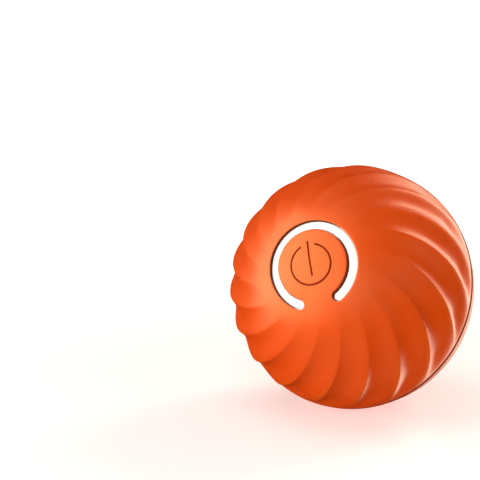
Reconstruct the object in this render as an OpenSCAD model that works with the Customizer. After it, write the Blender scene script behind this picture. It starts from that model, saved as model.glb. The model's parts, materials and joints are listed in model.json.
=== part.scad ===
// Self-rolling dog ball: two soft ribbed skins over a sealed core, in which a geared motor
// turns a heavy weight about the button axis.
// Every piece is drawn about that axis, with +Z through the button, and then laid down as the ball lies.
// Sizes are in millimetres and angles in degrees.

/* [Ball] */
// Diameter over the rib crests
ball_d = 80; // [79:0.5:86]
// Thickness of the soft skin at a rib crest
skin_t = 3.9; // [3.5:0.1:4.3]
// Gap at the seam between the two skins
seam_gap = 0.3; // [0.1:0.1:0.8]
// Lean of the button axis above the floor as the ball lies
rest_tilt = 21; // [0:1:60]
// Turn of the ball about its button axis as it lies
rest_roll = 18; // [-90:1:90]

/* [Ribs] */
// Number of spiral ribs on each half
rib_count = 18; // [12:1:24]
// Depth of the grooves between the ribs
rib_depth = 1.4; // [0.8:0.1:2]
// Turn of a rib about the button axis between the pole and the seam
rib_sweep = 68; // [20:1:90]
// Turn of the first rib at the seam
rib_phase = 67; // [0:1:90]
// Share of a rib that its steep flank takes
steep_share = 0.36; // [0.2:0.02:0.5]
// Angle from the pole at which the grooves start
groove_start = 24; // [23:1:34]
// Angle from the pole at which the grooves reach their full depth
groove_full = 66; // [45:1:76]
// How far the rim of the front skin lies below its crests
front_drop = 0.3; // [0.1:0.05:1]
// How far the smooth band of the rear skin lies below its crests
rear_drop = 0.8; // [0.4:0.1:1.4]

/* [Button and light] */
// Radius of the round button tongue
button_r = 11.1; // [9:0.1:11.5]
// Width of the slot round the button
slot_w = 3; // [2:0.1:3.4]
// Angle between the middles of the slot's two round ends
slot_open = 58; // [40:1:80]
// Thickness of the button at its edge
button_t = 2.2; // [1.6:0.1:3]
// Gap where the button hinges on its neck
hinge_gap = 0.3; // [0.2:0.05:0.5]
// Depth of the light ring below the skin
ring_recess = 1.2; // [0.4:0.1:2]
// Clearance between the light ring and the slot
ring_clear = 0.25; // [0.15:0.05:0.5]
// Radius of the power symbol's circle
symbol_r = 6.3; // [4:0.1:7.5]
// Width of the power symbol's groove
symbol_w = 0.6; // [0.4:0.1:1.2]
// Depth of the power symbol's groove
symbol_depth = 0.45; // [0.2:0.05:0.8]
// Radius of the plunger under the button
plunger_r = 2; // [1.6:0.1:2.4]
// Gap between the plunger and the switch stem at rest
plunger_gap = 0.15; // [0.1:0.05:0.4]

/* [Core] */
// Wall of the hard core shells
core_wall = 2; // [1.6:0.1:2.2]
// Clearance between a skin and its core
skin_fit = 0.1; // [0.05:0.05:0.2]
// Clearance of the pieces that push into each other
push_fit = 0.1; // [0.05:0.05:0.2]
// Depth of the spigot inside the core joint
spigot_depth = 4; // [3.5:0.5:6]
// Wall of the spigot
spigot_wall = 2; // [1.6:0.1:2.6]
// Thickness of the seal's section
seal_d = 1.3; // [1:0.1:1.6]
// Depth of the flat pads below the inside of the two domes
pad_drop = 4.5; // [4:0.1:5]

/* [Board and battery] */
// Radius of the main board
board_r = 20; // [19.6:0.2:21]
// Thickness of the boards
board_t = 1.2; // [1:0.1:1.6]
// Height of the switch body
switch_h = 3.4; // [3:0.1:3.7]
// Number of lamps under the light ring
lamp_count = 8; // [4:1:10]
// Length of the battery cell
battery_l = 30; // [24:1:32]
// Width of the battery cell
battery_w = 20; // [16:1:24]
// Thickness of the battery cell
battery_t = 5.5; // [4:0.1:6.2]
// Thickness of the foam pad under the battery cell
battery_pad_t = 1; // [0.6:0.1:1.5]

/* [Drive] */
// Radius of the motor can
motor_r = 7.7; // [6:0.1:7.9]
// Length of the motor with its cap
motor_l = 18; // [15:0.5:18.5]
// Distance of the motor from the axle
motor_out = 17; // [16.5:0.1:18]
// Thickness of the frame plate, the gear plate and the bridge
plate_t = 2; // [1.6:0.1:2.3]
// Radius of the axle
axle_r = 2; // [1.5:0.1:2.2]
// Running clearance of the turning pieces
run_fit = 0.05; // [0.03:0.01:0.08]
// Teeth of the motor pinion and of the small reduction gear
small_teeth = 10; // [9:1:11]
// Teeth of the large reduction gear and of the output gear
large_teeth = 44; // [40:1:46]
// Tooth module of the first pair of gears
first_module = 0.5; // [0.4:0.05:0.5]
// Tooth module of the second pair of gears
second_module = 0.6; // [0.5:0.05:0.6]
// Thinning of each tooth to leave play between the flanks
tooth_play = 0.08; // [0.05:0.01:0.12]
// Face width of the first pair of gears
first_face = 2.2; // [1.6:0.1:2.6]
// Face width of the second pair of gears
second_face = 2.6; // [2:0.1:3]

/* [Swing weight] */
// Outer radius of the swing weight
weight_r = 22.5; // [18:0.5:23]
// Inner radius of the heavy rim
weight_in_r = 11; // [8:0.5:14]
// Angle of the swing weight
weight_angle = 164; // [120:2:172]
// Thickness of the swing weight
weight_t = 7.5; // [5:0.1:8]

/* [Charging] */
// Length of the charge plug
plug_l = 13; // [12:0.2:16]
// Width of the charge plug
plug_w = 7.5; // [6.5:0.1:10]
// Width of the charge socket
socket_l = 9; // [8.4:0.1:9.4]
// Height of the charge socket
socket_w = 3.3; // [3:0.1:3.6]
// Stand of the socket's mouth beyond the core
socket_stand = 0.7; // [0.2:0.1:1.2]

/* [Screws and leads] */
// Radius of the screw shanks
screw_r = 0.9; // [0.7:0.05:1]
// Radius of the screw heads
head_r = 1.7; // [1.4:0.1:1.9]
// Height of the screw heads
head_h = 1.2; // [0.8:0.1:1.4]
// Length of thread that a screw has in its boss
screw_grip = 4; // [3:0.1:4.5]
// Radius of one lead
lead_r = 0.55; // [0.4:0.05:0.7]

/* [Hidden] */
$fn = 96;
seat = 0.02;
ball_r = ball_d / 2;
skin_in_r = ball_r - skin_t;
core_out_r = skin_in_r - skin_fit;
core_in_r = core_out_r - core_wall;
spigot_r = sqrt(pow(core_in_r, 2) - pow(spigot_depth, 2)) - push_fit;
seal_z = -spigot_depth / 2;
plumb = -90 - rest_roll;

slot_mid = button_r + slot_w / 2;
slot_out = button_r + slot_w;
slot_half = slot_open / 2;
hinge_y = slot_mid * cos(slot_half) + slot_w / 2 * sin(slot_half);
tongue_z = sqrt(pow(ball_r, 2) - pow(button_r, 2)) - button_t;
flange_in_r = button_r - 0.9;
flange_out_r = slot_out + 0.9;
flange_t = 1;

pad_z = core_in_r - pad_drop;
pad_r = flange_out_r + 2;
well_z = pad_z + 2.5;
board_z = pad_z - flange_t - switch_h - board_t + 0.1;
board_top = board_z + board_t;
board_boss_r = 2;
board_boss_out = board_r - board_boss_r - 0.8;
board_turns = [90, 198, 342];
switch_top = board_top + switch_h;
stem_r = 1.7;
stem_top = switch_top + 1.6;
battery_top = board_z - head_h - 1.3;
battery_z = battery_top - battery_t;
frame_top = battery_z - battery_pad_t;
frame_z = frame_top - plate_t;
frame_boss_r = 2.8;
frame_room = 1.5;
frame_r = sqrt(pow(core_in_r, 2) - pow(frame_top, 2)) - frame_room;
frame_boss_out = frame_r - frame_boss_r - 0.7;
frame_bosses = [60, 180, 300];
battery_gap = 0.8;
battery_off = battery_w / 2 + motor_r + battery_gap - motor_out;

// The rear pieces are stacked forward from the rear pad, and the posts take up what is left
bridge_z = -pad_z + board_t + head_h + 0.7;
bridge_top = bridge_z + plate_t;
bridge_boss_r = 2.4;
bridge_boss_out = 17;
bridge_r = bridge_boss_out + bridge_boss_r + 0.4;
hub_r = axle_r + 4;
hub_z = bridge_top + 1.4;
weight_z = hub_z + 0.5;
weight_top = weight_z + weight_t;
second_z = weight_top + 1.5;
second_top = second_z + second_face;
first_z = second_top + 0.5;
first_top = first_z + first_face;
gear_plate_z = first_top + 0.7;
gear_plate_top = gear_plate_z + plate_t;
motor_top = gear_plate_top + motor_l;
motor_cap_t = 3;
motor_boss_r = 2.5;
motor_boss_h = 1.5;
motor_screw_out = 4.8;
motor_screw_grip = 2.5;
motor_room = 0.5;
motor_cap_r = motor_r - 0.3;
shaft_r = 0.75;
shaft_grip = 2.8;
post_r = 2.5;
post_out = motor_out + 7;
post_turns = [110, 215, 320];
gear_plate_r = post_out + post_r;

first_reach = first_module * (small_teeth + large_teeth) / 2 + 0.05;
second_reach = second_module * (small_teeth + large_teeth) / 2 + 0.05;
gear_turn = acos((pow(second_reach, 2) + pow(motor_out, 2) - pow(first_reach, 2))
    / (2 * second_reach * motor_out));
gear_x = second_reach * cos(gear_turn);
gear_y = second_reach * sin(gear_turn);
motor_line = atan2(-gear_y, motor_out - gear_x);
pin_r = 1;

bush_wall = 1.4;
flange_h = 0.6;
bush_r = axle_r + run_fit + bush_wall;
axle_top = frame_top - 0.1;
axle_z = bridge_z - flange_h + 0.1;
clip_h = 0.6;
front_clip_z = frame_z - flange_h - 0.1 - clip_h;
rear_clip_z = bridge_top + 0.3;

port_board_l = 18;
port_board_w = 12;
port_screw_x = 6.6;
socket_z = -core_out_r - socket_stand;
plug_neck_l = plug_l - 2;
plug_neck_w = plug_w - 2;
plug_cap_t = 1.5;

skin_orange = [0.93, 0.35, 0.11];
core_grey = [0.82, 0.83, 0.84];
light_white = [0.96, 0.97, 1];
board_green = [0.08, 0.36, 0.22];
black = [0.1, 0.1, 0.11];
steel = [0.68, 0.7, 0.72];
brass = [0.8, 0.62, 0.3];
gear_white = [0.92, 0.91, 0.87];
frame_blue = [0.32, 0.38, 0.46];
cell_silver = [0.75, 0.77, 0.8];
lead_red = [0.75, 0.1, 0.1];

// Every piece as it is drawn, laid down as the ball lies
module as_it_lies() {
    rotate([90 - rest_tilt, 0, 0])
        rotate([0, 0, rest_roll])
            children();
}

module disc(r, z0, z1) {
    translate([0, 0, z0])
        cylinder(r = r, h = z1 - z0);
}

module ring(r_in, r_out, z0, z1) {
    difference() {
        disc(r_out, z0, z1);
        disc(r_in, z0 - 1, z1 + 1);
    }
}

module at(turn, out) {
    rotate([0, 0, turn])
        translate([out, 0, 0])
            children();
}

// A wedge about +X, of less than half a turn
module wedge(half, reach, z0, z1) {
    translate([0, 0, z0])
        linear_extrude(height = z1 - z0)
            polygon(concat([[0, 0]], [for (i = [-2:2]) reach * [cos(half * i / 2), sin(half * i / 2)]]));
}

module oblong(l, w, z0, z1) {
    translate([-(l - w) / 2, -w / 2, z0])
        cube([l - w, w, z1 - z0]);
    for (side = [-1, 1])
        translate([side * (l - w) / 2, 0, 0])
            disc(w / 2, z0, z1);
}

// A screw with its head below z and its shank above
module screw_up(z, grip) {
    disc(head_r, z - head_h, z);
    disc(screw_r, z, z + grip);
}

module screw_hole_up(z, grip) {
    disc(screw_r + seat, z, z + grip);
}

// Skins

function ease(a, b, x) = let(t = max(0, min(1, (x - a) / (b - a)))) t * t * (3 - 2 * t);
function rib_height(u) = u < steep_share
    ? pow(1 - u / steep_share, 1.4)
    : pow(sin(90 * (u - steep_share) / (1 - steep_share)), 2.4);
function skin_r(u, polar, rim) =
    ball_r - rim[0] * ease(rim[1], rim[2], polar)
    - rib_depth * ease(groove_start, groove_full, polar)
    * (1 - ease(rim[3], rim[4], polar)) * (1 - rib_height(u));
function rib_angle(rib, u, polar) =
    rib_phase - 90 + (rib + u) * 360 / rib_count + rib_sweep * (1 - max(polar, groove_start) / 90);
function skin_point(rib, u, polar, rim) =
    let(a = rib_angle(rib, u, polar), r = skin_r(u, polar, rim))
    [r * sin(polar) * cos(a), r * sin(polar) * sin(a), max(r * cos(polar), seam_gap / 2)];

rib_steps = concat(
    [for (i = [0:2]) steep_share * i / 3],
    [for (t = [0, 0.14, 0.32, 0.55, 0.8]) steep_share + (1 - steep_share) * t]);
polar_steps = concat(
    [groove_start / 3, groove_start * 2 / 3],
    [for (i = [0:9]) groove_start + (78 - groove_start) * i / 9],
    [82, 86, 90]);

// Rim of a half: drop of its crests, angles over which they drop, angles over which its grooves fade out
front_rim = [front_drop, 66, 86, 76, 90];
rear_rim = [rear_drop, 46, 74, 46, 72];

// One ribbed half ball, closed by a flat at the seam
module ribbed_half(rim) {
    around = rib_count * len(rib_steps);
    rows = len(polar_steps);
    pole = around * rows;
    middle = pole + 1;
    points = concat(
        [for (polar = polar_steps) for (rib = [0:rib_count - 1]) for (u = rib_steps)
            skin_point(rib, u, polar, rim)],
        [[0, 0, ball_r], [0, 0, seam_gap / 2]]);
    top = [for (j = [0:around - 1]) [pole, (j + 1) % around, j]];
    bands = [for (i = [0:rows - 2]) for (j = [0:around - 1]) for (half = [0, 1])
        let(a = i * around + j, b = i * around + (j + 1) % around)
        half == 0 ? [a, b, b + around] : [a, b + around, a + around]];
    seam_row = (rows - 1) * around;
    flat = [for (j = [0:around - 1]) [middle, seam_row + j, seam_row + (j + 1) % around]];
    polyhedron(points = points, faces = concat(top, bands, flat), convexity = 6);
}

// Outlines of the C-shaped slot, of the button inside it and of the opening that the two need
function arc(r, from, to, steps, centre = [0, 0]) =
    [for (i = [0:steps]) let(a = from + (to - from) * i / steps) centre + r * [cos(a), sin(a)]];
slot_from = slot_half - 90;
slot_to = 270 - slot_half;
slot_ends = [slot_mid * [cos(slot_from), sin(slot_from)], slot_mid * [cos(slot_to), sin(slot_to)]];
opening_tip = asin((hinge_y + hinge_gap + slot_ends[0][1]) / (slot_w / 2));

module prism(z0, z1, outline) {
    translate([0, 0, z0])
        linear_extrude(height = z1 - z0)
            polygon(outline);
}

module slot_shape(grow, z0, z1) {
    end_r = slot_w / 2 + grow;
    prism(z0, z1, concat(
        arc(slot_out + grow, slot_from, slot_to, 72),
        arc(end_r, slot_to + 18, slot_to + 162, 8, slot_ends[1]),
        arc(button_r - grow, slot_to, slot_from, 60),
        arc(end_r, slot_from - 162, slot_from - 18, 8, slot_ends[0])));
}

module tongue_shape(z0, z1) {
    prism(z0, z1, concat(
        arc(button_r, slot_from, slot_to, 60),
        arc(slot_w / 2, slot_to + 162, slot_to + 90, 4, slot_ends[1]),
        arc(slot_w / 2, slot_from - 90, slot_from - 162, 4, slot_ends[0])));
}

module opening_shape(z0, z1) {
    prism(z0, z1, concat(
        arc(slot_out, slot_from, slot_to, 72),
        arc(slot_w / 2, slot_to + 18, 360 - opening_tip, 5, slot_ends[1]),
        arc(slot_w / 2, opening_tip - 180, slot_from - 18, 5, slot_ends[0])));
}

module front_skin() {
    color(skin_orange)
        difference() {
            ribbed_half(front_rim);
            sphere(r = skin_in_r);
            opening_shape(pad_z, ball_r + 1);
        }
}

module rear_skin() {
    color(skin_orange)
        difference() {
            rotate([180, 0, 0])
                rotate([0, 0, -2 * (rib_phase - 90)])
                    ribbed_half(rear_rim);
            sphere(r = skin_in_r);
            oblong(plug_l, plug_w, -ball_r - 1, -ball_r + plug_cap_t);
            oblong(plug_neck_l, plug_neck_w, -ball_r, -pad_z);
        }
}

// Button and light

module symbol_shape(z0, z1) {
    gap_half = 22;
    from = 90 + gap_half;
    to = 450 - gap_half;
    bar_low = -3.5;
    bar_high = symbol_r + 0.9;
    prism(z0, z1, concat(
        arc(symbol_r + symbol_w / 2, from, to, 60),
        arc(symbol_w / 2, to + 30, to + 150, 4, symbol_r * [cos(to), sin(to)]),
        arc(symbol_r - symbol_w / 2, to, from, 60),
        arc(symbol_w / 2, from + 210, from + 330, 4, symbol_r * [cos(from), sin(from)])));
    prism(z0, z1, concat(
        arc(symbol_w / 2, 0, 180, 6, [0, bar_high]),
        arc(symbol_w / 2, 180, 360, 6, [0, bar_low])));
}

module power_button() {
    color(skin_orange)
        difference() {
            intersection() {
                rotate([90, 0, 0])
                    sphere(r = ball_r, $fn = 360);
                tongue_shape(tongue_z, ball_r + 1);
            }
            difference() {
                symbol_shape(tongue_z + 1, ball_r + 1);
                rotate([90, 0, 0])
                    sphere(r = ball_r - symbol_depth, $fn = 360);
            }
        }
}

module button_plunger() {
    head_t = 0.9;
    color(core_grey) {
        disc(3 * plunger_r, tongue_z - head_t, tongue_z);
        disc(plunger_r, stem_top + plunger_gap, tongue_z - head_t);
    }
}

module light_ring() {
    color(light_white) {
        intersection() {
            sphere(r = ball_r - ring_recess);
            slot_shape(-ring_clear, pad_z, ball_r);
        }
        difference() {
            slot_shape(slot_mid - flange_in_r - slot_w / 2, pad_z - flange_t, pad_z);
            for (turn = board_turns)
                at(turn, board_boss_out)
                    disc(board_boss_r + 0.1, pad_z - flange_t - 1, pad_z + 1);
        }
    }
}

// Core

module half_shell(side) {
    difference() {
        sphere(r = core_out_r);
        sphere(r = core_in_r);
        translate([-ball_r, -ball_r, side > 0 ? push_fit / 2 - ball_d : -push_fit / 2])
            cube([ball_d, ball_d, ball_d]);
    }
}

module front_core() {
    color(core_grey)
        difference() {
            union() {
                half_shell(1);
                intersection() {
                    sphere(r = core_out_r - 0.3);
                    union() {
                        disc(pad_r, pad_z, ball_r);
                        for (turn = board_turns)
                            at(turn, board_boss_out)
                                disc(board_boss_r, board_top, ball_r);
                        for (turn = frame_bosses)
                            at(plumb + turn, frame_boss_out)
                                disc(frame_boss_r, frame_top, ball_r);
                    }
                }
                rotate_extrude()
                    polygon([
                        [spigot_r - spigot_wall, -spigot_depth],
                        [spigot_r, -spigot_depth],
                        [spigot_r, push_fit / 2],
                        [core_in_r + core_wall / 3, push_fit / 2],
                        [core_in_r + core_wall / 3, 3],
                        [spigot_r - spigot_wall + 0.8, 3],
                        [spigot_r - spigot_wall, 2]]);
            }
            disc(slot_out + 0.15, well_z, ball_r);
            slot_shape(0, pad_z - 1, well_z + 1);
            disc(plunger_r + 0.6, pad_z - 1, well_z + 1);
            ring(spigot_r - seal_d + 0.1, spigot_r + 0.05,
                seal_z - seal_d / 2 - 0.1, seal_z + seal_d / 2 + 0.1);
            for (turn = board_turns)
                at(turn, board_boss_out)
                    screw_hole_up(board_top - 1, screw_grip + 1.2);
            for (turn = frame_bosses)
                at(plumb + turn, frame_boss_out)
                    screw_hole_up(frame_top - 1, screw_grip + 1.2);
        }
}

module rear_core() {
    color(core_grey)
        difference() {
            union() {
                half_shell(-1);
                intersection() {
                    sphere(r = core_out_r - 0.3);
                    union() {
                        disc(port_board_l / 2 + 2, -ball_r, -pad_z);
                        for (turn = [0:2])
                            at(90 + 120 * turn, bridge_boss_out)
                                disc(bridge_boss_r, -ball_r, bridge_z);
                    }
                }
            }
            oblong(socket_l + 2 * push_fit, socket_w + 2 * push_fit, -ball_r, -pad_z + 1);
            for (side = [-1, 1])
                translate([side * port_screw_x, 0, 0])
                    disc(screw_r + seat, -pad_z - screw_grip - 0.2, -pad_z + 1);
            for (turn = [0:2])
                at(90 + 120 * turn, bridge_boss_out)
                    disc(screw_r + seat, bridge_z - screw_grip - 0.2, bridge_z + 1);
        }
}

module core_seal() {
    color(black)
        rotate_extrude()
            translate([spigot_r - seal_d / 2 + 0.12, seal_z])
                circle(d = seal_d, $fn = 48);
}

// Boards, switch, lamps and battery

module main_board() {
    color(board_green)
        difference() {
            disc(board_r, board_z, board_top);
            for (turn = board_turns)
                at(turn, board_boss_out)
                    disc(screw_r + 0.1, board_z - 1, board_top + 1);
        }
}

module board_screws() {
    color(steel)
        for (turn = board_turns)
            at(turn, board_boss_out)
                screw_up(board_z, board_t + screw_grip);
}

module switch_body() {
    switch_w = 6;
    color(black)
        difference() {
            translate([-switch_w / 2, -switch_w / 2, board_top])
                cube([switch_w, switch_w, switch_h]);
            disc(stem_r + 0.1, board_top + 1.4, switch_top + 1);
        }
}

module switch_stem() {
    color(gear_white)
        disc(stem_r, switch_top - 0.9, stem_top);
}

module lamps() {
    lamp_w = 2.4;
    lamp_h = 1.7;
    sweep = 360 - slot_open - 14;
    color(light_white)
        for (i = [0:lamp_count - 1])
            at(90 + sweep * ((i + 0.5) / lamp_count - 0.5), slot_mid)
                translate([-lamp_w / 2, -lamp_w / 2, board_top])
                    cube([lamp_w, lamp_w, lamp_h]);
}

// A block with round corners, set across the line from the axle to the motor
module cell_shape(l, w, z0, z1) {
    rotate([0, 0, plumb + 90])
        translate([0, battery_off, 0])
            rounded_block(l, w, z0, z1);
}

module rounded_block(l, w, z0, z1) {
    round_r = 2;
    for (grow = [[0, round_r], [round_r, 0]])
        translate([-l / 2 + grow[0], -w / 2 + grow[1], z0])
            cube([l - 2 * grow[0], w - 2 * grow[1], z1 - z0]);
    for (x = [-1, 1])
        for (y = [-1, 1])
            translate([x * (l / 2 - round_r), y * (w / 2 - round_r), 0])
                disc(round_r, z0, z1);
}

module battery_cell() {
    color(cell_silver)
        cell_shape(battery_l, battery_w, battery_z, battery_top);
}

module battery_pad() {
    color(black)
        cell_shape(battery_l - 2, battery_w - 2, frame_top, battery_z);
}

// Frame, gear plate and bridge

module flanged_bush(z0, z1, flange_z) {
    color(brass)
        difference() {
            union() {
                disc(bush_r, z0, z1);
                disc(bush_r + 1, flange_z, flange_z + flange_h);
            }
            disc(axle_r + run_fit, z0 - 1, z1 + 1);
        }
}

module drive_frame() {
    color(frame_blue)
        difference() {
            union() {
                disc(frame_r, frame_z, frame_top);
                for (turn = post_turns)
                    at(plumb + turn, post_out)
                        disc(post_r, gear_plate_top, frame_z + 0.5);
            }
            disc(bush_r + seat, frame_z - 1, frame_top + 1);
            at(plumb, motor_out)
                disc(motor_r + motor_room, frame_z - 1, frame_top + 1);
            for (turn = frame_bosses)
                at(plumb + turn, frame_boss_out)
                    disc(screw_r + 0.1, frame_z - 1, frame_top + 1);
            for (turn = post_turns)
                at(plumb + turn, post_out)
                    disc(screw_r + seat, gear_plate_top - 1, gear_plate_top + screw_grip + 0.2);
            lead_notches(frame_z, frame_top);
        }
}

module frame_screws() {
    color(steel)
        for (turn = frame_bosses)
            at(plumb + turn, frame_boss_out)
                screw_up(frame_z, plate_t + screw_grip);
}

// The two screw places of the motor, square to the line from the motor to the reduction gear
module at_motor_screws() {
    at(plumb, motor_out)
        for (side = [-1, 1])
            rotate([0, 0, motor_line + 90 * side])
                translate([motor_screw_out, 0, 0])
                    children();
}

module gear_plate() {
    color(frame_blue)
        difference() {
            disc(gear_plate_r, gear_plate_z, gear_plate_top);
            disc(axle_r + 0.6, gear_plate_z - 1, gear_plate_top + 1);
            at(plumb, motor_out)
                disc(motor_boss_r + push_fit, gear_plate_z - 1, gear_plate_top + 1);
            at_motor_screws()
                disc(screw_r + 0.1, gear_plate_z - 1, gear_plate_top + 1);
            rotate([0, 0, plumb])
                translate([gear_x, gear_y, 0])
                    disc(pin_r + seat, gear_plate_z - 1, gear_plate_top + 1);
            for (turn = post_turns)
                at(plumb + turn, post_out)
                    disc(screw_r + 0.1, gear_plate_z - 1, gear_plate_top + 1);
            lead_notches(gear_plate_z, gear_plate_top);
        }
}

module plate_screws() {
    color(steel)
        for (turn = post_turns)
            at(plumb + turn, post_out)
                screw_up(gear_plate_z, plate_t + screw_grip);
}

module front_bush() {
    flanged_bush(frame_z, frame_top, frame_z - flange_h);
}

module rear_bush() {
    flanged_bush(bridge_z, bridge_top, bridge_z - flange_h);
}

module rear_bridge() {
    color(frame_blue)
        difference() {
            disc(bridge_r, bridge_z, bridge_top);
            disc(bush_r + seat, bridge_z - 1, bridge_top + 1);
            for (turn = [0:2])
                at(90 + 120 * turn, bridge_boss_out)
                    disc(screw_r + 0.1, bridge_z - 1, bridge_top + 1);
            at(charge_lead_turn, bridge_r)
                disc(4, bridge_z - 1, bridge_top + 1);
        }
}

module bridge_screws() {
    color(steel)
        for (turn = [0:2])
            at(90 + 120 * turn, bridge_boss_out) {
                disc(head_r, bridge_top, bridge_top + head_h);
                disc(screw_r, bridge_z - screw_grip, bridge_top);
            }
}

// Motor and gears

module motor_can() {
    color(steel)
        at(plumb, motor_out)
            difference() {
                union() {
                    disc(motor_r, gear_plate_top, motor_top - motor_cap_t);
                    disc(motor_boss_r, gear_plate_top - motor_boss_h, gear_plate_top);
                }
                disc(shaft_r + run_fit,
                    gear_plate_top - motor_boss_h - 1, gear_plate_top + shaft_grip + 0.2);
                rotate([0, 0, -plumb])
                    translate(-motor_out * [cos(plumb), sin(plumb), 0])
                        at_motor_screws()
                            disc(screw_r + seat,
                                gear_plate_top - 1, gear_plate_top + motor_screw_grip + 0.2);
            }
}

module motor_cap() {
    color(black)
        at(plumb, motor_out)
            disc(motor_cap_r, motor_top - motor_cap_t, motor_top);
}

module motor_screws() {
    color(steel)
        at_motor_screws()
            screw_up(gear_plate_z, plate_t + motor_screw_grip);
}

module motor_shaft() {
    color(steel)
        at(plumb, motor_out)
            disc(shaft_r, first_z, gear_plate_top + shaft_grip);
}

function rolled(angle) = tan(angle) - angle * PI / 180;

// Outline of a gear whose first tooth points along +X
module tooth_outline(teeth, size) {
    pressure = 25;
    pitch_r = teeth * size / 2;
    base_r = pitch_r * cos(pressure);
    tip_r = pitch_r + 0.8 * size;
    root_r = pitch_r - 1.1 * size;
    start_r = max(base_r, root_r);
    half = 90 / teeth - tooth_play / pitch_r * 90 / PI;
    radii = [for (i = [0:4]) start_r + (tip_r - start_r) * i / 4];
    flank = [for (r = radii) half + (rolled(pressure) - rolled(acos(base_r / r))) * 180 / PI];
    side = concat([[root_r, flank[0]]], [for (i = [0:4]) [radii[i], flank[i]]]);
    last = len(side) - 1;
    polygon([for (tooth = [0:teeth - 1]) for (i = [0:2 * last + 1])
        let(p = i <= last ? side[i] : side[2 * last + 1 - i],
            a = tooth * 360 / teeth + (i <= last ? -p[1] : p[1]))
        p[0] * [cos(a), sin(a)]]);
}

module spur(teeth, size, turn, z0, z1) {
    translate([0, 0, z0])
        rotate([0, 0, turn])
            linear_extrude(height = z1 - z0)
                tooth_outline(teeth, size);
}

// A tooth of each large gear stands on the line to its small gear, in one of that gear's gaps
module motor_pinion() {
    color(brass)
        at(plumb, motor_out)
            difference() {
                spur(small_teeth, first_module, motor_line + 180 + 180 / small_teeth, first_z, first_top);
                disc(shaft_r + seat, first_z - 1, first_top + 1);
            }
}

module reduction_gear() {
    color(gear_white)
        rotate([0, 0, plumb])
            translate([gear_x, gear_y, 0])
                difference() {
                    union() {
                        spur(large_teeth, first_module, motor_line, first_z, first_top);
                        spur(small_teeth, second_module, gear_turn + 180 + 180 / small_teeth,
                            second_z, first_z);
                    }
                    disc(pin_r + run_fit, second_z - 1, first_top + 1);
                }
}

module gear_pin() {
    color(steel)
        rotate([0, 0, plumb])
            translate([gear_x, gear_y, 0]) {
                disc(pin_r, second_z - 0.7, gear_plate_top);
                disc(pin_r + 0.7, second_z - 0.7, second_z - 0.2);
            }
}

module output_gear() {
    color(gear_white)
        rotate([0, 0, plumb])
            difference() {
                spur(large_teeth, second_module, gear_turn, second_z, second_top);
                disc(axle_r + seat, second_z - 1, second_top + 1);
                for (i = [0:5])
                    at(60 * i, 7.8)
                        disc(1.9, second_z - 1, second_top + 1);
            }
}

module drive_axle() {
    color(steel)
        difference() {
            disc(axle_r, axle_z, axle_top);
            for (z = [front_clip_z, rear_clip_z])
                ring(axle_r - 0.5, axle_r + 1, z - 0.05, z + clip_h + 0.05);
        }
}

module axle_clips() {
    color(steel)
        for (z = [front_clip_z, rear_clip_z])
            difference() {
                ring(axle_r - 0.5 + seat, axle_r + 1.6, z, z + clip_h);
                translate([-axle_r + 0.9, 0, z - 1])
                    cube([2 * axle_r - 1.8, 3 * axle_r, clip_h + 2]);
            }
}

module swing_weight() {
    web_t = 3;
    color(steel)
        rotate([0, 0, plumb])
            difference() {
                union() {
                    intersection() {
                        ring(weight_in_r, weight_r, weight_z, weight_top);
                        wedge(weight_angle / 2, 2 * weight_r, weight_z - 1, weight_top + 1);
                    }
                    intersection() {
                        disc(weight_in_r + 1, weight_top - web_t, weight_top);
                        wedge(weight_angle / 2, 2 * weight_r, weight_z - 1, weight_top + 1);
                    }
                    disc(hub_r, hub_z, weight_top);
                }
                disc(axle_r + seat, hub_z - 1, weight_top + 1);
                at_weight_screw()
                    disc(screw_r + seat, axle_r + 0.05, hub_r + 1);
            }
}

module at_weight_screw() {
    translate([0, 0, (weight_top + hub_z) / 2])
        rotate([0, -90, 0])
            children();
}

module weight_screw() {
    color(black)
        rotate([0, 0, plumb])
            at_weight_screw()
                disc(screw_r, axle_r + 0.1, hub_r - 0.1);
}

// Charging

module charge_board() {
    color(board_green)
        difference() {
            translate([-port_board_l / 2, -port_board_w / 2, -pad_z])
                cube([port_board_l, port_board_w, board_t]);
            for (side = [-1, 1])
                translate([side * port_screw_x, 0, 0])
                    disc(screw_r + 0.1, -pad_z - 1, -pad_z + board_t + 1);
        }
}

module charge_screws() {
    color(steel)
        for (side = [-1, 1])
            translate([side * port_screw_x, 0, 0]) {
                disc(head_r, -pad_z + board_t, -pad_z + board_t + head_h);
                disc(screw_r, -pad_z - screw_grip, -pad_z + board_t);
            }
}

module charge_socket() {
    wall = 0.35;
    depth = 5.5;
    color(steel) {
        difference() {
            oblong(socket_l, socket_w, socket_z, -pad_z);
            oblong(socket_l - 2 * wall, socket_w - 2 * wall, socket_z - 1, socket_z + depth);
        }
        translate([-socket_l * 0.37, -0.35, socket_z + 0.6])
            cube([socket_l * 0.74, 0.7, depth]);
    }
}

module charge_plug() {
    gap = 0.3;
    color(skin_orange) {
        intersection() {
            rotate([90, 0, 0])
                sphere(r = ball_r, $fn = 360);
            oblong(plug_l - 2 * gap, plug_w - 2 * gap, -ball_r - 1, -ball_r + plug_cap_t - 0.05);
        }
        oblong(plug_neck_l - 2 * gap, plug_neck_w - 2 * gap, -ball_r + plug_cap_t - 0.1, socket_z - gap);
    }
}

// Leads

lead_run = min(frame_r, gear_plate_r) - 0.2;
motor_lead_offs = [0.9 * motor_cap_r - 3 * lead_r, 0.9 * motor_cap_r];
motor_lead_turns = [for (off = motor_lead_offs) plumb - asin(off / motor_out)];
charge_lead_turn = plumb + 248;
charge_lead_turns = [charge_lead_turn - 7, charge_lead_turn + 7];
battery_lead_turns = [plumb - 95, plumb - 85];
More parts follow.
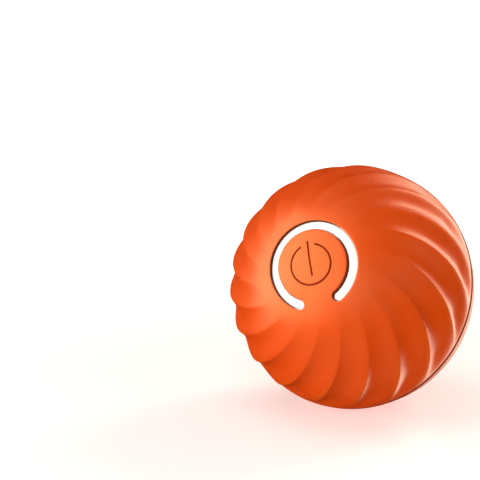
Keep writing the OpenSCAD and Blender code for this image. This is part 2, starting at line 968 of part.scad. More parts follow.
// Distance from the axis of a lead that lies along the core's wall, and of the rim of the motor's cap
function wall_run(z) = sqrt(pow(core_in_r - lead_r - 0.45, 2) - z * z);
function cap_edge(off) =
    sqrt(pow(motor_out, 2) - pow(off, 2)) + sqrt(pow(motor_cap_r, 2) - pow(off - lead_r, 2)) + seat;
// The end of a lead that climbs from the frame to the main board
board_run = board_r - 1.6;
board_end = [
    [lead_run, frame_z + plate_t / 2],
    [lead_run - 1.4, frame_top + 2.4],
    [board_run, board_z - 2.6],
    [board_run, board_z - 1.2],
    [board_run, board_z - seat]];

function blended(p, i, t) =
    let(a = p[max(i - 1, 0)], b = p[i], c = p[i + 1], d = p[min(i + 2, len(p) - 1)])
    b + 0.5 * ((c - a) * t
        + (2 * a - 5 * b + 4 * c - d) * pow(t, 2)
        + (3 * b - a - 3 * c + d) * pow(t, 3));

// A round lead along a smooth route of [distance from the axis, height], in a plane through the axis
module lead(turn, route) {
    sides = 8;
    steps = 3;
    path = concat(
        [for (i = [0:len(route) - 2]) for (k = [0:steps - 1]) blended(route, i, k / steps)],
        [route[len(route) - 1]]);
    last = len(path) - 1;
    points = [for (i = [0:last]) for (k = [0:sides - 1])
        let(run = path[min(i + 1, last)] - path[max(i - 1, 0)],
            along = run / norm(run),
            off = lead_r * cos(360 * k / sides))
        [path[i][0] - along[1] * off, lead_r * sin(360 * k / sides), path[i][1] + along[0] * off]];
    walls = [for (i = [0:last - 1]) for (k = [0:sides - 1]) for (half = [0, 1])
        let(p = i * sides + k, q = i * sides + (k + 1) % sides)
        half == 0 ? [p, q, q + sides] : [p, q + sides, p + sides]];
    ends = [[for (k = [0:sides - 1]) sides - 1 - k], [for (k = [0:sides - 1]) last * sides + k]];
    rotate([0, 0, turn])
        polyhedron(points = points, faces = concat(walls, ends), convexity = 6);
}

// One notch at the rim of a plate for each pair of leads
module lead_notches(z0, z1) {
    room = lead_r + 0.9;
    for (pair = [motor_lead_turns, charge_lead_turns]) {
        half = frame_r * sin(abs(pair[1] - pair[0]) / 2) + room;
        at((pair[0] + pair[1]) / 2, lead_run - room)
            translate([0, -half, z0 - 1])
                cube([frame_r, 2 * half, z1 - z0 + 2]);
    }
}

module motor_leads() {
    color(lead_red)
        for (i = [0, 1])
            lead(motor_lead_turns[i], concat([
                [cap_edge(motor_lead_offs[i]), motor_top - 1.5],
                [cap_edge(motor_lead_offs[i]) + 1.2, motor_top - 1.5],
                [lead_run - 0.6, motor_top - 1]],
                board_end));
}

module battery_leads() {
    color(lead_red)
        for (turn = battery_lead_turns)
            lead(turn, [
                [battery_l / 2 + 0.2, battery_z + battery_t / 2],
                [battery_l / 2 + 1.4, battery_z + battery_t / 2],
                [battery_l / 2 + 2.1, battery_top],
                [battery_l / 2 + 2.1, board_z - 1],
                [battery_l / 2 + 2.1, board_z - seat]]);
}

module charge_leads() {
    color(lead_red)
        for (turn = charge_lead_turns)
            lead(turn, concat([
                [port_board_l / 2 - 1.6, -pad_z + board_t + seat],
                [port_board_l / 2 - 1.4, -pad_z + board_t + 0.7],
                [port_board_l / 2, -pad_z + board_t + 1.1],
                [bridge_r - 4.8, bridge_z - 1.1],
                [wall_run(bridge_z + 1), bridge_z + 1],
                [wall_run(weight_z), weight_z],
                [lead_run, weight_top],
                [lead_run, gear_plate_z],
                [lead_run, frame_z - 2]],
                board_end));
}

as_it_lies() {
    front_skin();
    rear_skin();
    power_button();
    button_plunger();
    light_ring();
    front_core();
    rear_core();
    core_seal();
    main_board();
    board_screws();
    switch_body();
    switch_stem();
    lamps();
    battery_cell();
    battery_pad();
    battery_leads();
    drive_frame();
    frame_screws();
    gear_plate();
    plate_screws();
    motor_can();
    motor_cap();
    motor_screws();
    motor_leads();
    motor_shaft();
    motor_pinion();
    reduction_gear();
    gear_pin();
    output_gear();
    drive_axle();
    axle_clips();
    front_bush();
    rear_bush();
    swing_weight();
    weight_screw();
    rear_bridge();
    bridge_screws();
    charge_board();
    charge_screws();
    charge_socket();
    charge_plug();
    charge_leads();
}
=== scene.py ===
"""Self-rolling dog ball: ribbed rubber skin, power button with its lit ring, charge plug and studio."""

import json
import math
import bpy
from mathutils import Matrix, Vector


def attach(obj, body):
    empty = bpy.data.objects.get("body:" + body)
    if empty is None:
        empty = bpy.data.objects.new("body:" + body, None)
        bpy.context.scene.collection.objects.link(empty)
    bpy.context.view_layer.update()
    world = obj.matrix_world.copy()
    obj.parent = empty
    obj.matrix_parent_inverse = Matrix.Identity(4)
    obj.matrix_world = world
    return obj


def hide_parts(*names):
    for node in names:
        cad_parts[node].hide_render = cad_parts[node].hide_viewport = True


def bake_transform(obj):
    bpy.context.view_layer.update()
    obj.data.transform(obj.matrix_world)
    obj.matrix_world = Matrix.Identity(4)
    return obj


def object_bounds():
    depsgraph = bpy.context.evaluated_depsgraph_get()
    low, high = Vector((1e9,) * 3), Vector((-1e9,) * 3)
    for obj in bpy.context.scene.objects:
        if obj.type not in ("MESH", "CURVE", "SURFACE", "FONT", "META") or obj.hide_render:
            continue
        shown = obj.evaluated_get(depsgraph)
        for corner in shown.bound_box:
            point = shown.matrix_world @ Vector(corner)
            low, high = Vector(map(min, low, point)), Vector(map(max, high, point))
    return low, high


bl_info = {
    "name": "Self-rolling dog ball",
    "version": (1, 0, 0),
    "blender": (4, 5, 0),
    "location": "3D View > Sidebar > Dog ball",
    "description": "Dresses the CAD frame of a self-rolling dog ball",
    "category": "Object",
}

import bpy
import numpy as np
from mathutils import Matrix, Vector

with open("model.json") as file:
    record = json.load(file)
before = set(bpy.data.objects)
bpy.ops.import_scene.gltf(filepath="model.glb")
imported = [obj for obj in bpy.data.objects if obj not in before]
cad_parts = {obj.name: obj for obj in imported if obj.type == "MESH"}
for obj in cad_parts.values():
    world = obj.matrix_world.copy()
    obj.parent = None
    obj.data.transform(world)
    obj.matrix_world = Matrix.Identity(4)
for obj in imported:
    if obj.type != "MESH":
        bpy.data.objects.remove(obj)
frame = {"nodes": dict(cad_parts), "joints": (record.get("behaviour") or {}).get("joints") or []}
cad_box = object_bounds()

MM = 0.001
joints = {joint["name"]: joint for joint in frame["joints"]}


def resting_turn():
    """The turn from the button's own axes, with z out through the button, to the frame."""
    out = -Vector(joints["plug_pull"]["axis"])
    along_hinge = -Vector(joints["button_press"]["axis"])
    return Matrix((along_hinge, out.cross(along_hinge), out)).transposed().to_4x4()


LIE = resting_turn()


def linear(code):
    """An sRGB hex colour as linear red, green and blue."""
    parts = [int(code[i : i + 2], 16) / 255 for i in (0, 2, 4)]
    return tuple(c / 12.92 if c <= 0.04045 else ((c + 0.055) / 1.055) ** 2.4 for c in parts)


def length(title, about, default_mm):
    """A length that is given in millimetres and kept in metres."""
    return bpy.props.FloatProperty(
        name=title, description=about, default=default_mm * MM, min=0, precision=5, unit="LENGTH"
    )


def angle(title, about, degrees):
    """An angle that is given in degrees and kept in radians."""
    return bpy.props.FloatProperty(
        name=title, description=about, default=math.radians(degrees), subtype="ANGLE", unit="ROTATION"
    )


def colour(title, about, code):
    """A colour that is given as sRGB hex and kept linear."""
    return bpy.props.FloatVectorProperty(
        name=title, description=about, default=linear(code), size=3, min=0, max=1, subtype="COLOR"
    )


class BallSizes(bpy.types.PropertyGroup):
    """Sizes of the moulded pieces: the CAD's, with rounded edges, a rear lip and a finer symbol line"""

    ball_radius: length("Ball radius", "From the centre to the crest of a rib", 40)
    skin_inside: length("Skin inside", "Inner radius of the rubber skin", 36.1)
    seam_half: length("Half seam", "Half of the gap between the two skins", 0.15)
    rib_depth: length("Rib depth", "From crest to groove at full depth", 1.4)
    rib_count: bpy.props.IntProperty(name="Ribs", description="Ribs on each half", default=18, min=6)
    rib_sweep: angle("Rib sweep", "How far a rib turns from pole to seam", 68)
    rib_phase: angle("Rib phase", "Where the first rib meets the seam", 67)
    groove_start: angle("Groove start", "Polar angle where the grooves begin", 24)
    groove_full: angle("Groove full", "Polar angle where the grooves are deepest", 66)
    front_drop: length("Front drop", "How far the front rim lies below the crests", 0.3)
    front_drop_start: angle("Front drop start", "Polar angle where the front crests begin to drop", 66)
    front_drop_end: angle("Front drop end", "Polar angle where the front crests are at the rim's level", 86)
    front_fade_start: angle("Front fade start", "Polar angle where the front grooves begin to fade", 76)
    front_fade_end: angle("Front fade end", "Polar angle where the front grooves have ended", 90)
    rear_drop: length("Rear drop", "How far the rear band lies below the crests", 0.8)
    rear_drop_start: angle("Rear drop start", "Polar angle where the rear crests begin to drop", 46)
    rear_drop_end: angle("Rear drop end", "Polar angle where the rear crests are at the band's level", 74)
    rear_lip: length("Rear lip", "How far the rear band rises again at the seam", 0.45)
    rear_fade_start: angle("Rear fade start", "Polar angle where the rear grooves begin to fade", 46)
    rear_fade_end: angle("Rear fade end", "Polar angle where the rear grooves have ended", 72)
    slot_middle: length("Slot radius", "Radius of the slot's middle line", 12.6)
    slot_half: length("Half slot", "Half of the slot's width", 1.5)
    slot_gap: angle("Slot gap", "Angle from the hinge's middle to each end of the slot", 29)
    hinge_line: length("Hinge line", "From the axis to the line where the button bends", 11.59)
    button_under: length("Button underside", "Height of the button's underside over the centre", 36.23)
    edge_round: length("Edge rounding", "Rounding of the rubber's moulded edges", 0.4)
    rear_edge: length("Rear seam rounding", "Rounding of the rear skin's edge at the seam", 0.75)
    symbol_radius: length("Symbol radius", "Radius of the on and off symbol's arc", 6.3)
    symbol_width: length("Symbol width", "Width of the symbol's engraved line", 0.46)
    symbol_depth: length("Symbol depth", "Depth of the engraved line", 0.45)
    ring_top: length("Ring top", "Radius of the sphere that the ring's top lies on", 38.8)
    ring_clear: length("Ring clearance", "Gap between the ring and the slot's walls", 0.25)
    ring_foot: length("Ring foot", "Height of the ring's flange over the centre", 29.5)
    plug_long: length("Plug length", "Length of the charge plug's pocket", 13)
    plug_wide: length("Plug width", "Width of the charge plug's pocket", 7.5)
    plug_floor: length("Plug floor", "Height of the pocket's floor over the centre", 38.5)
    plug_end: length("Plug end", "Height of the plug's inner end over the centre", 36.8)
    plug_gap: length("Plug gap", "Gap round the charge plug", 0.3)


class BallColours(bpy.types.PropertyGroup):
    """Colours of the pieces that show"""

    rubber: colour("Rubber", "Orange of the moulded skin", "E84D01")
    rubber_deep: colour("Deep rubber", "Orange in the denser flow of the skin", "E24601")
    crest: colour("Rubbed crest", "Paler orange where the ribs are handled", "EC5C0C")
    # Painted shade and dust in the symbol's line, painted shade on the button's walls
    engraved: colour("Engraved line", "Dark orange in the symbol's line and on the button's walls", "6A1E05")
    # Painted shade on the skin's inside, on the walls of the slot and pocket and round the seam
    shaded: colour("Shaded wall", "Dark orange on the walls of the slot, pocket and seam", "541604")
    sheen: colour("Sheen", "Peach tint of the rubber's highlights", "FFD6A0")
    ring: colour("Ring", "Milky white of the light guide", "FBFAF7")
    # Colour of the ring's painted glow
    painted_ring_glow: colour("Ring glow", "Light that the lamps send through the ring", "FFFDF8")
    floor: colour("Floor", "White of the studio's table and backdrop", "F6F5F4")


def millimetres(length_m):
    """A stored length in millimetres."""
    return length_m / MM


def smooth_step(low, high, value):
    """0 below low, 1 above high, with a soft way between."""
    share = np.clip((value - low) / (high - low), 0, 1)
    return share * share * (3 - 2 * share)


def on_sphere(plan, radius):
    """Points of a plan, seen along the button's axis, lifted to a sphere."""
    height = np.sqrt(np.maximum(radius**2 - (plan**2).sum(axis=1), 0))
    return np.column_stack((plan, height))


def at_height(plan, height):
    """Points of a plan at one height."""
    return np.column_stack((plan, np.full(len(plan), float(height))))


def polar_plan(radius, degrees):
    """Plan points at a radius and an angle."""
    turn = np.radians(degrees)
    return np.column_stack((radius * np.cos(turn), radius * np.sin(turn)))


def within_half_turn(degrees):
    """Angles brought between -180 and 180 degrees."""
    return np.mod(degrees + 180, 360) - 180


# Points closer than MERGE metres become one, and edges bent by more than SHARP_EDGE degrees look sharp
MERGE = 4e-7
SHARP_EDGE = 35


def skin_from_rows(name, rows, place, attributes=None):
    """A grid primitive with one vertex row for each ring of points, wrapped, closed and laid in its place."""
    points = np.array(rows)
    points = np.concatenate((points, points[:, :1]), axis=1) * MM
    bpy.ops.object.select_all(action="DESELECT")
    bpy.ops.mesh.primitive_grid_add(
        x_subdivisions=points.shape[1] - 1, y_subdivisions=points.shape[0] - 1, size=MM
    )
    piece = bpy.context.active_object
    piece.name = piece.data.name = name
    piece.data.vertices.foreach_set("co", points.astype(np.float32).ravel())
    for title, values in (attributes or {}).items():
        layer = np.array(values, dtype=np.float32)
        layer = np.concatenate((layer, layer[:, :1]), axis=1)
        piece.data.attributes.new(title, "FLOAT", "POINT").data.foreach_set("value", layer.ravel())
    bpy.ops.object.mode_set(mode="EDIT")
    bpy.ops.mesh.select_all(action="SELECT")
    bpy.ops.mesh.remove_doubles(threshold=MERGE)
    bpy.ops.mesh.dissolve_degenerate(threshold=MERGE)
    bpy.ops.mesh.normals_make_consistent(inside=False)
    bpy.ops.object.mode_set(mode="OBJECT")
    piece.matrix_world = place
    bpy.ops.object.transform_apply(location=True, rotation=True, scale=True)
    bpy.ops.object.shade_smooth_by_angle(angle=math.radians(SHARP_EDGE))
    return piece


# The rubber skin's ribs

# Columns on each rib, and rings down the ribs, round the rim's edge and along the inside
RIB_STEPS = 30
POLAR_ROWS = 72
EDGE_ROWS = 5
INNER_ROWS = 10

# Rings from the edge of each half's opening to where the grooves begin
FRONT_CAP_ROWS = 10
REAR_CAP_ROWS = 18

# Where the painted shade on the rim's edge begins and is full, as shares of the way round the edge
SEAM_SHADE = (-0.25, 0.15)

# Polar angles in degrees between which the rear band rises to its lip
LIP_RANGE = (84, 88)

# How much closer the columns stand at a crest, from 0, evenly spread, to 1
CREST_CROWDING = 0.8

# The steep side's share of a rib, and the powers that bend its two sides
STEEP_SHARE = 0.36
DROP_POWER = 2.1
RISE_POWER = 2.4

# Half of the rounded crest's share of a rib, its samples, and the spread of their weights past it
CREST_ROUND = 0.014
CREST_SAMPLES = 9
CREST_SPREAD = 1.2


def rib_section(across):
    """Height across one rib, 1 on the crest at 0 and 0 in the groove, steep on the side after the crest."""
    across = np.mod(across, 1)
    drop = np.clip(1 - across / STEEP_SHARE, 0, 1) ** DROP_POWER
    rise = np.sin(np.pi / 2 * np.clip((across - STEEP_SHARE) / (1 - STEEP_SHARE), 0, 1)) ** RISE_POWER
    return np.where(across < STEEP_SHARE, drop, rise)


def rounded_section(across):
    """The rib's height with its crest rounded, as a mould tool leaves it."""
    shifts = np.linspace(-CREST_ROUND, CREST_ROUND, CREST_SAMPLES)
    weights = 1 - np.abs(shifts) / (CREST_SPREAD * CREST_ROUND)
    heights = [weight * rib_section(across + shift) for shift, weight in zip(shifts, weights)]
    return np.sum(heights, axis=0) / weights.sum()


class RibbedHalf:
    """One half of the skin in columns that follow the ribs."""

    def __init__(self, sizes, side):
        self.sizes = sizes
        self.radius = millimetres(sizes.ball_radius)
        self.drop = millimetres(getattr(sizes, side + "_drop"))
        self.lip = millimetres(sizes.rear_lip) if side == "rear" else 0
        self.drop_range = [math.degrees(getattr(sizes, side + end)) for end in ("_drop_start", "_drop_end")]
        self.fade_range = [math.degrees(getattr(sizes, side + end)) for end in ("_fade_start", "_fade_end")]
        self.inside = millimetres(sizes.skin_inside)
        self.seam = millimetres(sizes.seam_half)
        self.depth = millimetres(sizes.rib_depth)
        self.start = math.degrees(sizes.groove_start)
        self.full = math.degrees(sizes.groove_full)
        self.edge = millimetres(sizes.rear_edge if side == "rear" else sizes.edge_round)
        steps = np.arange(RIB_STEPS) / RIB_STEPS
        across = steps - CREST_CROWDING * np.sin(2 * np.pi * steps) / (2 * np.pi)
        ribs = np.arange(sizes.rib_count)
        self.turn = ((ribs[:, None] + across) * 360 / sizes.rib_count).ravel()
        self.section = rounded_section(np.tile(across, sizes.rib_count))

    def column_angle(self, polar):
        """Angle round the axis of every column at one polar angle, in degrees."""
        sweep = math.degrees(self.sizes.rib_sweep) * (1 - max(polar, self.start) / 90)
        return math.degrees(self.sizes.rib_phase) - 90 + self.turn + sweep

    def groove_share(self, polar):
        """How deep the grooves are at one polar angle, from 0 to 1."""
        return float(smooth_step(self.start, self.full, polar) * (1 - smooth_step(*self.fade_range, polar)))

    def outer_row(self, polar):
        """The ring of outer points at one polar angle."""
        crest = self.radius - self.drop * float(smooth_step(*self.drop_range, polar))
        crest += self.lip * float(smooth_step(*LIP_RANGE, polar))
        radius = crest - self.depth * self.groove_share(polar) * (1 - self.section)
        plan = polar_plan(radius * math.sin(math.radians(polar)), self.column_angle(polar))
        return np.column_stack((plan, radius * math.cos(math.radians(polar))))

    def outer_rows(self):
        """Rings down the ribs and round the rim's edge to the seam, and how near each point is to a crest."""
        rim = self.radius - self.drop + self.lip
        last = math.degrees(math.acos((self.seam + self.edge) / rim))
        polars = np.linspace(self.start, last, POLAR_ROWS)[1:]
        rows = [self.outer_row(polar) for polar in polars]
        crests = [self.groove_share(polar) * self.section for polar in polars]
        for turn in np.linspace(0, np.pi / 2, EDGE_ROWS + 1)[1:]:
            edge_radius = rim - self.edge * (1 - math.cos(turn))
            edge_height = self.seam + self.edge * (1 - math.sin(turn))
            rows.append(at_height(polar_plan(edge_radius, self.column_angle(90)), edge_height))
            crests.append(np.zeros(len(self.turn)))
        return rows, crests

    def inner_rows(self, edge_plan):
        """Rings from the seam along the inside of the skin to the edge of its opening."""
        edge_angle = np.degrees(np.arctan2(edge_plan[:, 1], edge_plan[:, 0]))
        low_angle = self.column_angle(90)
        top_angle = self.column_angle(self.start)
        lag = within_half_turn(edge_angle - top_angle)
        edge_polar = np.arcsin(np.hypot(edge_plan[:, 0], edge_plan[:, 1]) / self.inside)
        rows = [at_height(polar_plan(self.inside, low_angle), self.seam)]
        for share in np.linspace(0, 1, INNER_ROWS)[1:]:
            polar = np.pi / 2 + (edge_polar - np.pi / 2) * share
            turn = low_angle + (top_angle + lag - low_angle) * share
            rows.append(on_sphere(polar_plan(self.inside * np.sin(polar), turn), self.inside))
        return rows

    def cap_rows(self, edge_plan, count):
        """Rings from the edge of the opening out to where the grooves begin."""
        rim_plan = polar_plan(self.radius * math.sin(math.radians(self.start)), self.column_angle(self.start))
        return [
            on_sphere(edge_plan + (rim_plan - edge_plan) * share, self.radius)
            for share in np.linspace(0, 1, count)[1:]
        ]

    def closed_piece(self, name, opening_rows, walls, cap_rows, place):
        """The closed skin, from the seam up its inside, out through the opening and down the ribs.

        The inside, the first rows of the opening, as many as walls says, and the rim's edge at the seam are
        painted with shade.
        """
        inner = self.inner_rows(opening_rows[0][:, :2])
        ribbed, crests = self.outer_rows()
        rows = inner + opening_rows + cap_rows + ribbed + inner[:1]
        plain = np.zeros(len(self.turn))
        crests = [plain] * (len(rows) - len(crests) - 1) + crests + [plain]
        # Painted shade: full on the inside and the opening's walls, and growing round the rim's edge to the
        # seam
        seam_shades = smooth_step(*SEAM_SHADE, np.linspace(0, 1, EDGE_ROWS + 1))
        seam = [plain + dark for dark in seam_shades] + [plain + 1]
        shaded = [plain + 1] * (len(inner) + walls)
        in_the_open = [plain] * (len(rows) - len(shaded) - len(seam))
        painted_shade = shaded + in_the_open + seam
        return skin_from_rows(name, rows, place, {"crest": crests, "painted_shade": painted_shade})


# Rings of a rounded edge, and how many of them lie on its wall
ROUND_ROWS = 6
ROUND_WALL_ROWS = 1


def rounded_edge(outline, radius, rounding):
    """Rings of a rounded edge, from the wall up to the sphere.

    outline gives the plan at a distance from the wall.
    """
    top = on_sphere(outline(rounding), radius)[:, 2]
    corner = on_sphere(outline(0), radius)[:, 2]
    rows = []
    for down in np.linspace(1, 0, ROUND_ROWS):
        up = 1 - down
        height = up**2 * top + 2 * down * up * corner + down**2 * (corner - rounding)
        rows.append(np.column_stack((outline(rounding * up**2), height)))
    return rows


# The slot round the button, whose edge the skin, the button and the light ring share

# Angles from the hinge's middle, in degrees, where the columns leave the hinge line and the slot's round end
HINGE_TURN = 20
SLOT_END_TURN = 34


class SlotEdge:
    """The edge of the slot, on the skin's side or on the button's, by the angle from the hinge's middle."""

    def __init__(self, sizes):
        self.middle = millimetres(sizes.slot_middle)
        self.half = millimetres(sizes.slot_half)
        self.hinge = millimetres(sizes.hinge_line)
        self.gap = math.degrees(sizes.slot_gap)
        self.end = self.middle * np.array((math.sin(sizes.slot_gap), -math.cos(sizes.slot_gap)))

    def plan(self, from_hinge, grow, on_skin):
        """Plan points of the edge, moved by grow into the rubber."""
        size = np.abs(from_hinge)
        reach = self.half + grow
        corner = self.end[0] - math.sqrt(reach**2 - (self.hinge + self.end[1]) ** 2)
        hinge_x = corner * size / HINGE_TURN
        first = math.degrees(math.atan2(-self.hinge - self.end[1], corner - self.end[0])) % 360
        last = 270 + self.gap if on_skin else 90 + self.gap
        share = np.clip((size - HINGE_TURN) / (SLOT_END_TURN - HINGE_TURN), 0, 1)
        round_end = np.radians(first + (last - first) * share)
        end_x = self.end[0] + reach * np.cos(round_end)
        end_y = self.end[1] + reach * np.sin(round_end)
        along = self.gap + (size - SLOT_END_TURN) * (180 - self.gap) / (180 - SLOT_END_TURN)
        arc = self.middle + reach if on_skin else self.middle - reach
        arc_x = arc * np.sin(np.radians(along))
        arc_y = -arc * np.cos(np.radians(along))
        near_hinge = size <= HINGE_TURN
        near_end = size <= SLOT_END_TURN
        x = np.where(near_hinge, hinge_x, np.where(near_end, end_x, arc_x))
        y = np.where(near_hinge, -self.hinge, np.where(near_end, end_y, arc_y))
        return np.column_stack((np.sign(from_hinge) * x, y))


class DOGBALL_OT_front_skin(bpy.types.Operator):
    """Ribbed rubber skin of the half that carries the button"""

    bl_idname = "dogball.front_skin"
    bl_label = "Front skin"

    def execute(self, context):
        sizes = context.scene.ball_sizes
        half = RibbedHalf(sizes, "front")
        slot = SlotEdge(sizes)
        from_hinge = within_half_turn(half.column_angle(half.start) + 90)
        # The nearest columns move onto the corners of the slot's edge
        for corner in (-SLOT_END_TURN, -HINGE_TURN, HINGE_TURN, SLOT_END_TURN):
            from_hinge[np.argmin(np.abs(from_hinge - corner))] = corner
        rounding = millimetres(sizes.edge_round)
        edge = rounded_edge(lambda grow: slot.plan(from_hinge, grow, True), half.radius, rounding)
        cap = half.cap_rows(edge[-1][:, :2], FRONT_CAP_ROWS)
        piece = half.closed_piece("ribbed_front_skin", edge, ROUND_WALL_ROWS, cap, LIE)
        piece.data.materials.append(moulded_rubber(context.scene.ball_colours))
        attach(piece, "shell")
        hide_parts("front_skin")
        return {"FINISHED"}


# The charge plug and its pocket in the rear skin

# How much narrower the neck of the pocket and of the plug is than its head, in mm
NECK_STEP = 2

# Keeps a division from meeting 0
TINY = 1e-9


def stadium(long, wide, degrees):
    """Plan points of an oblong with round ends, at angles from its long axis."""
    turn = np.radians(degrees)
    run = (long - wide) / 2
    radius = wide / 2
    side = radius / np.maximum(np.abs(np.sin(turn)), TINY)
    round_end = run * np.abs(np.cos(turn)) + np.sqrt(np.maximum(0, radius**2 - (run * np.sin(turn)) ** 2))
    return polar_plan(np.where(side * np.abs(np.cos(turn)) <= run, side, round_end), degrees)


def turned(plan, degrees):
    """Plan points turned about the axis."""
    turn = math.radians(degrees)
    cosine, sine = math.cos(turn), math.sin(turn)
    return plan @ np.array(((cosine, sine), (-sine, cosine)))


class DOGBALL_OT_rear_skin(bpy.types.Operator):
    """Ribbed rubber skin of the half with the charge plug's pocket"""

    bl_idname = "dogball.rear_skin"
    bl_label = "Rear skin"

    def execute(self, context):
        sizes = context.scene.ball_sizes
        half = RibbedHalf(sizes, "rear")
        mirror_turn = -2 * (math.degrees(sizes.rib_phase) - 90)
        place = LIE @ Matrix.Rotation(math.pi, 4, "X") @ Matrix.Rotation(math.radians(mirror_turn), 4, "Z")
        long = millimetres(sizes.plug_long)
        wide = millimetres(sizes.plug_wide)
        floor = millimetres(sizes.plug_floor)
        rounding = millimetres(sizes.edge_round)
        angles = half.column_angle(half.start) + mirror_turn

        def outline(grow):
            return turned(stadium(long + 2 * grow, wide + 2 * grow, angles), -mirror_turn)

        neck = outline(-NECK_STEP / 2)
        pocket = [on_sphere(neck, half.inside), at_height(neck, floor), at_height(outline(0), floor)]
        walls = len(pocket) + ROUND_WALL_ROWS
        edge = pocket + rounded_edge(outline, half.radius, rounding)
        cap = half.cap_rows(edge[-1][:, :2], REAR_CAP_ROWS)
        piece = half.closed_piece("ribbed_rear_skin", edge, walls, cap, place)
        piece.data.materials.append(moulded_rubber(context.scene.ball_colours))
        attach(piece, "shell")
        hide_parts("rear_skin")
        return {"FINISHED"}


PLUG_COLUMNS = 144
PLUG_ROWS = 40

# In mm: the rounding of the plug's head and its clearance over the pocket's floor
PLUG_ROUND = 0.35
PLUG_SEAT = 0.05

# In mm: the depth of the nail scoop, where it begins and is full along the plug, and where its sides rise
NAIL_SCOOP = 0.5
SCOOP_ALONG = (4.2, 5.6)
SCOOP_SIDE = (1.2, 2.6)

# In mm: how far the sealing bead stands out, its middle over the plug's end, its half width, the tip's bevel
BEAD_OUT = 0.2
BEAD_MIDDLE = 1.0
BEAD_HALF = 0.3
TIP_BEVEL = 0.3


class DOGBALL_OT_charge_plug(bpy.types.Operator):
    """Rubber plug over the charging socket, with a scoop for a finger nail and a sealing bead"""

    bl_idname = "dogball.charge_plug"
    bl_label = "Charge plug"

    def execute(self, context):
        sizes = context.scene.ball_sizes
        radius = millimetres(sizes.ball_radius)
        gap = millimetres(sizes.plug_gap)
        floor = millimetres(sizes.plug_floor) + PLUG_SEAT
        end = millimetres(sizes.plug_end)
        angles = np.arange(PLUG_COLUMNS) * 360 / PLUG_COLUMNS

        def outline(grow):
            inset = 2 * (gap + grow)
            return stadium(millimetres(sizes.plug_long) - inset, millimetres(sizes.plug_wide) - inset, angles)

        top_edge = outline(PLUG_ROUND)
        rows = [on_sphere(top_edge * share, radius) for share in np.linspace(0, 1, PLUG_ROWS)[:-1]]
        rows += rounded_edge(outline, radius, PLUG_ROUND)[::-1]
        for row in rows:
            middle = 1 - smooth_step(*SCOOP_SIDE, np.abs(row[:, 1]))
            row[:, 2] -= NAIL_SCOOP * smooth_step(*SCOOP_ALONG, row[:, 0]) * middle
        neck = outline(NECK_STEP / 2)
        bead = outline(NECK_STEP / 2 - BEAD_OUT)
        tip = outline(NECK_STEP / 2 + TIP_BEVEL)
        rows += [at_height(outline(0), floor), at_height(neck, floor)]
        rows.append(at_height(neck, end + BEAD_MIDDLE + BEAD_HALF))
        rows.append(at_height(bead, end + BEAD_MIDDLE))
        rows.append(at_height(neck, end + BEAD_MIDDLE - BEAD_HALF))
        rows.append(at_height(neck, end + TIP_BEVEL))
        rows += [at_height(tip, end), at_height(np.zeros_like(tip), end)]
        piece = skin_from_rows("rubber_charge_plug", rows, LIE @ Matrix.Rotation(math.pi, 4, "X"))
        piece.data.materials.append(moulded_rubber(context.scene.ball_colours))
        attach(piece, "plug")
        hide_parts("charge_plug")
        return {"FINISHED"}


# The power button, a tongue of the skin at its hinge line

BUTTON_COLUMNS = 540
BUTTON_ROWS = 112

# Half of the gap in the symbol's arc in degrees, and in mm the ends of its bar and half of its soft wall
SYMBOL_GAP = 22
SYMBOL_BAR = (-3.5, 7.2)
SYMBOL_WALL = 0.12

# Where the painted shade on the button's edge begins and is full, as shares of the way down the edge
WALL_SHADE = (0.3, 0.9)


def symbol_cover(plan, radius, width):
    """1 on the symbol's engraved line and 0 beside it, with a short soft wall."""
    x, y = plan[:, 0], plan[:, 1]
    gap = math.radians(SYMBOL_GAP)
    from_top = np.abs(np.arctan2(x, y))
    along = np.hypot(np.abs(x) - radius * math.sin(gap), y - radius * math.cos(gap))
    to_arc = np.where(from_top > gap, np.abs(np.hypot(x, y) - radius), along)
    to_bar = np.hypot(x, y - np.clip(y, *SYMBOL_BAR))
    distance = np.minimum(to_arc, to_bar)
    return 1 - smooth_step(width / 2 - SYMBOL_WALL, width / 2 + SYMBOL_WALL, distance)


class DOGBALL_OT_power_button(bpy.types.Operator):
    """Button tongue with the engraved on and off symbol"""

    bl_idname = "dogball.power_button"
    bl_label = "Power button"

    def execute(self, context):
        sizes = context.scene.ball_sizes
        slot = SlotEdge(sizes)
        radius = millimetres(sizes.ball_radius)
        under = millimetres(sizes.button_under)
        rounding = millimetres(sizes.edge_round)
        depth = millimetres(sizes.symbol_depth)
        from_hinge = np.arange(BUTTON_COLUMNS) * 360 / BUTTON_COLUMNS - 180

        def outline(grow):
            return slot.plan(from_hinge, grow, False)

        rows = []
        marks = []
        top_edge = outline(rounding)
        for share in np.linspace(0, 1, BUTTON_ROWS)[:-1]:
            plan = top_edge * share
            mark = symbol_cover(plan, millimetres(sizes.symbol_radius), millimetres(sizes.symbol_width))
            row = on_sphere(plan, radius)
            row[:, 2] -= depth * mark
            rows.append(row)
            marks.append(mark)
        edge = rounded_edge(outline, radius, rounding)[::-1]
        foot = outline(0)
        walls = [at_height(foot, under), at_height(np.zeros_like(foot), under)]
        plain = np.zeros(BUTTON_COLUMNS)
        # The button's edge and walls are painted with shade
        marks += [plain + dark for dark in smooth_step(*WALL_SHADE, np.linspace(0, 1, len(edge)))]
        marks += [plain + 1] * len(walls)
        rows += edge + walls
        piece = skin_from_rows("power_button_tongue", rows, LIE, {"engraved": marks})
        piece.data.materials.append(engraved_rubber(context.scene.ball_colours))
        hinge = millimetres(sizes.hinge_line)
        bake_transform(piece)
        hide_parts("power_button")
        return {"FINISHED"}


# The light ring in the slot

# Columns along each side of the ring and round each end, and rings of points across half of its top
RING_COLUMNS = 150
RING_END_COLUMNS = 20
RING_TOP_ROWS = 6

# In mm: the rounding of the ring's top, and how far its flange stands out past the slot and how thick it is
RING_ROUND = 0.3
FLANGE_OUT = 0.9
FLANGE_THICK = 1.0


